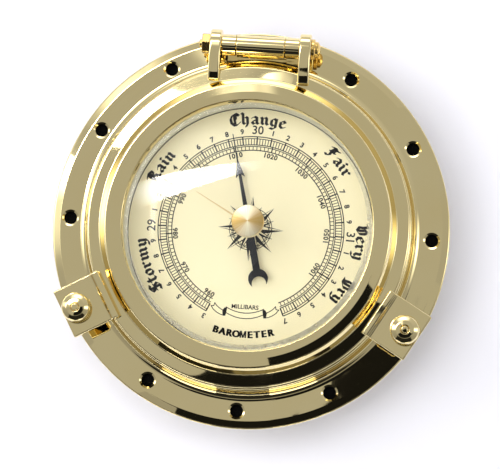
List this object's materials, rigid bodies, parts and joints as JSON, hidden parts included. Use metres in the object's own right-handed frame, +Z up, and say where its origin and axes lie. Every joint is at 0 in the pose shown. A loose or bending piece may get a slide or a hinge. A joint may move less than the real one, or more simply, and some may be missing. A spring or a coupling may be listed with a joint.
{
  "type": "aneroid barometer",
  "caption": "Round porthole-style aneroid barometer: wide drilled flange, hinged domed-glass lid with thumb-screw dogs, cream dial, set hand, and a geared capsule movement behind.",
  "frame": {"origin": "centre of the dial on the plane of the flange's back face", "axes": "+Z up towards the hinge, -Y out of the dial towards the viewer, +X to the viewer's right"},
  "size_m": [0.152, 0.0538, 0.152],
  "materials": {
    "gold_plate": "polished gold plating",
    "case_steel": "drawn and zinc plated",
    "nut_brass": "turned",
    "set_brass": "circular brushed",
    "dial_face": "matt cream print ground",
    "dial_ring": "satin",
    "hand_black": "satin black",
    "glass": "clear, domed",
    "blued_spring": "blued",
    "screw_steel": "turned",
    "capsule_metal": "pressed nickel silver",
    "movement_brass": "stamped"
  },
  "bodies": {
    "case": {"flange_ring": "gold_plate", "rear_case": "case_steel", "case_screws": "screw_steel", "rear_cover": "case_steel", "rear_cover_screws": "screw_steel", "rear_spacers": "movement_brass", "hinge_base": "gold_plate", "hinge_base_screws": "screw_steel", "dog_posts": "gold_plate", "dial_ring": "dial_ring", "dial_plate": "dial_face", "movement_base_plate": "movement_brass", "movement_pillars": "movement_brass", "movement_screws": "screw_steel", "train_bridge": "movement_brass", "bridge_pillars": "movement_brass", "bridge_screws": "screw_steel", "vacuum_capsule": "capsule_metal", "hairspring": "blued_spring", "hairspring_stud": "movement_brass", "rocker_brackets": "movement_brass"},
    "sector": {"sector_arbor": "screw_steel", "sector_gear": "movement_brass", "sector_crank": "movement_brass"},
    "pointer": {"pointer_arbor": "screw_steel", "pointer_pinion": "movement_brass", "hairspring_collet": "movement_brass", "pointer_hand": "hand_black", "pointer_boss": "movement_brass"},
    "link": {"connecting_link": "screw_steel"},
    "rocker": {"rocker_shaft": "screw_steel", "rocker_arm": "movement_brass", "rocker_finger": "movement_brass"},
    "capsule_top": {"capsule_stud": "screw_steel"},
    "adjuster": {"adjusting_screw": "screw_steel"},
    "lid": {"lid_ring": "gold_plate", "lid_glass": "glass", "glass_ring": "gold_plate", "hinge_arm_left": "gold_plate", "hinge_arm_right": "gold_plate", "hinge_sleeve": "gold_plate", "hinge_pin": "gold_plate", "hinge_nut": "nut_brass", "dog_ear_left": "gold_plate", "dog_ear_right": "gold_plate", "set_hand_bush": "set_brass"},
    "set_hand": {"set_hand_knob": "set_brass", "set_hand_spindle": "set_brass", "set_hand_needle": "set_brass"},
    "washer_left": {"dog_washer_left": "gold_plate"},
    "thumb_left": {"dog_knob_left": "gold_plate"},
    "washer_right": {"dog_washer_right": "gold_plate"},
    "thumb_right": {"dog_knob_right": "gold_plate"}
  },
  "joints": [
    {"name": "sector_turn", "type": "hinge", "parent": "case", "child": "sector", "pos_m": [0, 0.013, -0.036], "axis": [0, -1, 0], "range_deg": [-17.7, 21.2]},
    {"name": "pointer_turn", "type": "hinge", "parent": "case", "child": "pointer", "pos_m": [0, 0, 0], "axis": [0, -1, 0], "range_deg": [-169.6, 141.6]},
    {"name": "link_slide", "type": "slide", "parent": "case", "child": "link", "axis": [0, 0, 1], "range_m": [-0.0016, 0.0019]},
    {"name": "rocker_turn", "type": "hinge", "parent": "case", "child": "rocker", "pos_m": [0, 0.011, 0.019], "axis": [1, 0, 0], "range_deg": [-13.3, 11.1]},
    {"name": "capsule_travel", "type": "slide", "parent": "case", "child": "capsule_top", "axis": [0, -1, 0], "range_m": [-0.0007, 0.0006]},
    {"name": "adjuster_turn", "type": "hinge", "parent": "case", "child": "adjuster", "pos_m": [0, 0.022, 0.022], "axis": [0, 1, 0], "range_deg": [-360, 360]},
    {"name": "lid_hinge", "type": "hinge", "parent": "case", "child": "lid", "pos_m": [0, -0.013, 0.0688], "axis": [-1, 0, 0], "range_deg": [0, 110]},
    {"name": "set_hand_turn", "type": "hinge", "parent": "lid", "child": "set_hand", "pos_m": [0.001, -0.02, 0.0004], "axis": [0, -1, 0], "continuous": true},
    {"name": "thumb_left_lift", "type": "slide", "parent": "lid", "child": "washer_left", "axis": [0, -1, 0], "range_m": [0, 0.0042]},
    {"name": "thumb_left_turn", "type": "hinge", "parent": "washer_left", "child": "thumb_left", "pos_m": [-0.06132, -0.02, -0.0354], "axis": [0, -1, 0], "range_deg": [0, 2160]},
    {"name": "thumb_right_lift", "type": "slide", "parent": "lid", "child": "washer_right", "axis": [0, -1, 0], "range_m": [0, 0.0042]},
    {"name": "thumb_right_turn", "type": "hinge", "parent": "washer_right", "child": "thumb_right", "pos_m": [0.06132, -0.02, -0.0354], "axis": [0, -1, 0], "range_deg": [0, 2160]}
  ],
  "couplings": [
    {"joint": "pointer_turn", "follows": "sector_turn", "ratio": -8},
    {"joint": "link_slide", "follows": "sector_turn", "m_per_rad": 0.005},
    {"joint": "rocker_turn", "follows": "sector_turn", "ratio": -0.625},
    {"joint": "capsule_travel", "follows": "sector_turn", "m_per_rad": -0.001875},
    {"joint": "thumb_left_turn", "follows": "thumb_left_lift", "rad_per_m": 8976},
    {"joint": "thumb_right_turn", "follows": "thumb_right_lift", "rad_per_m": 8976}
  ]
}
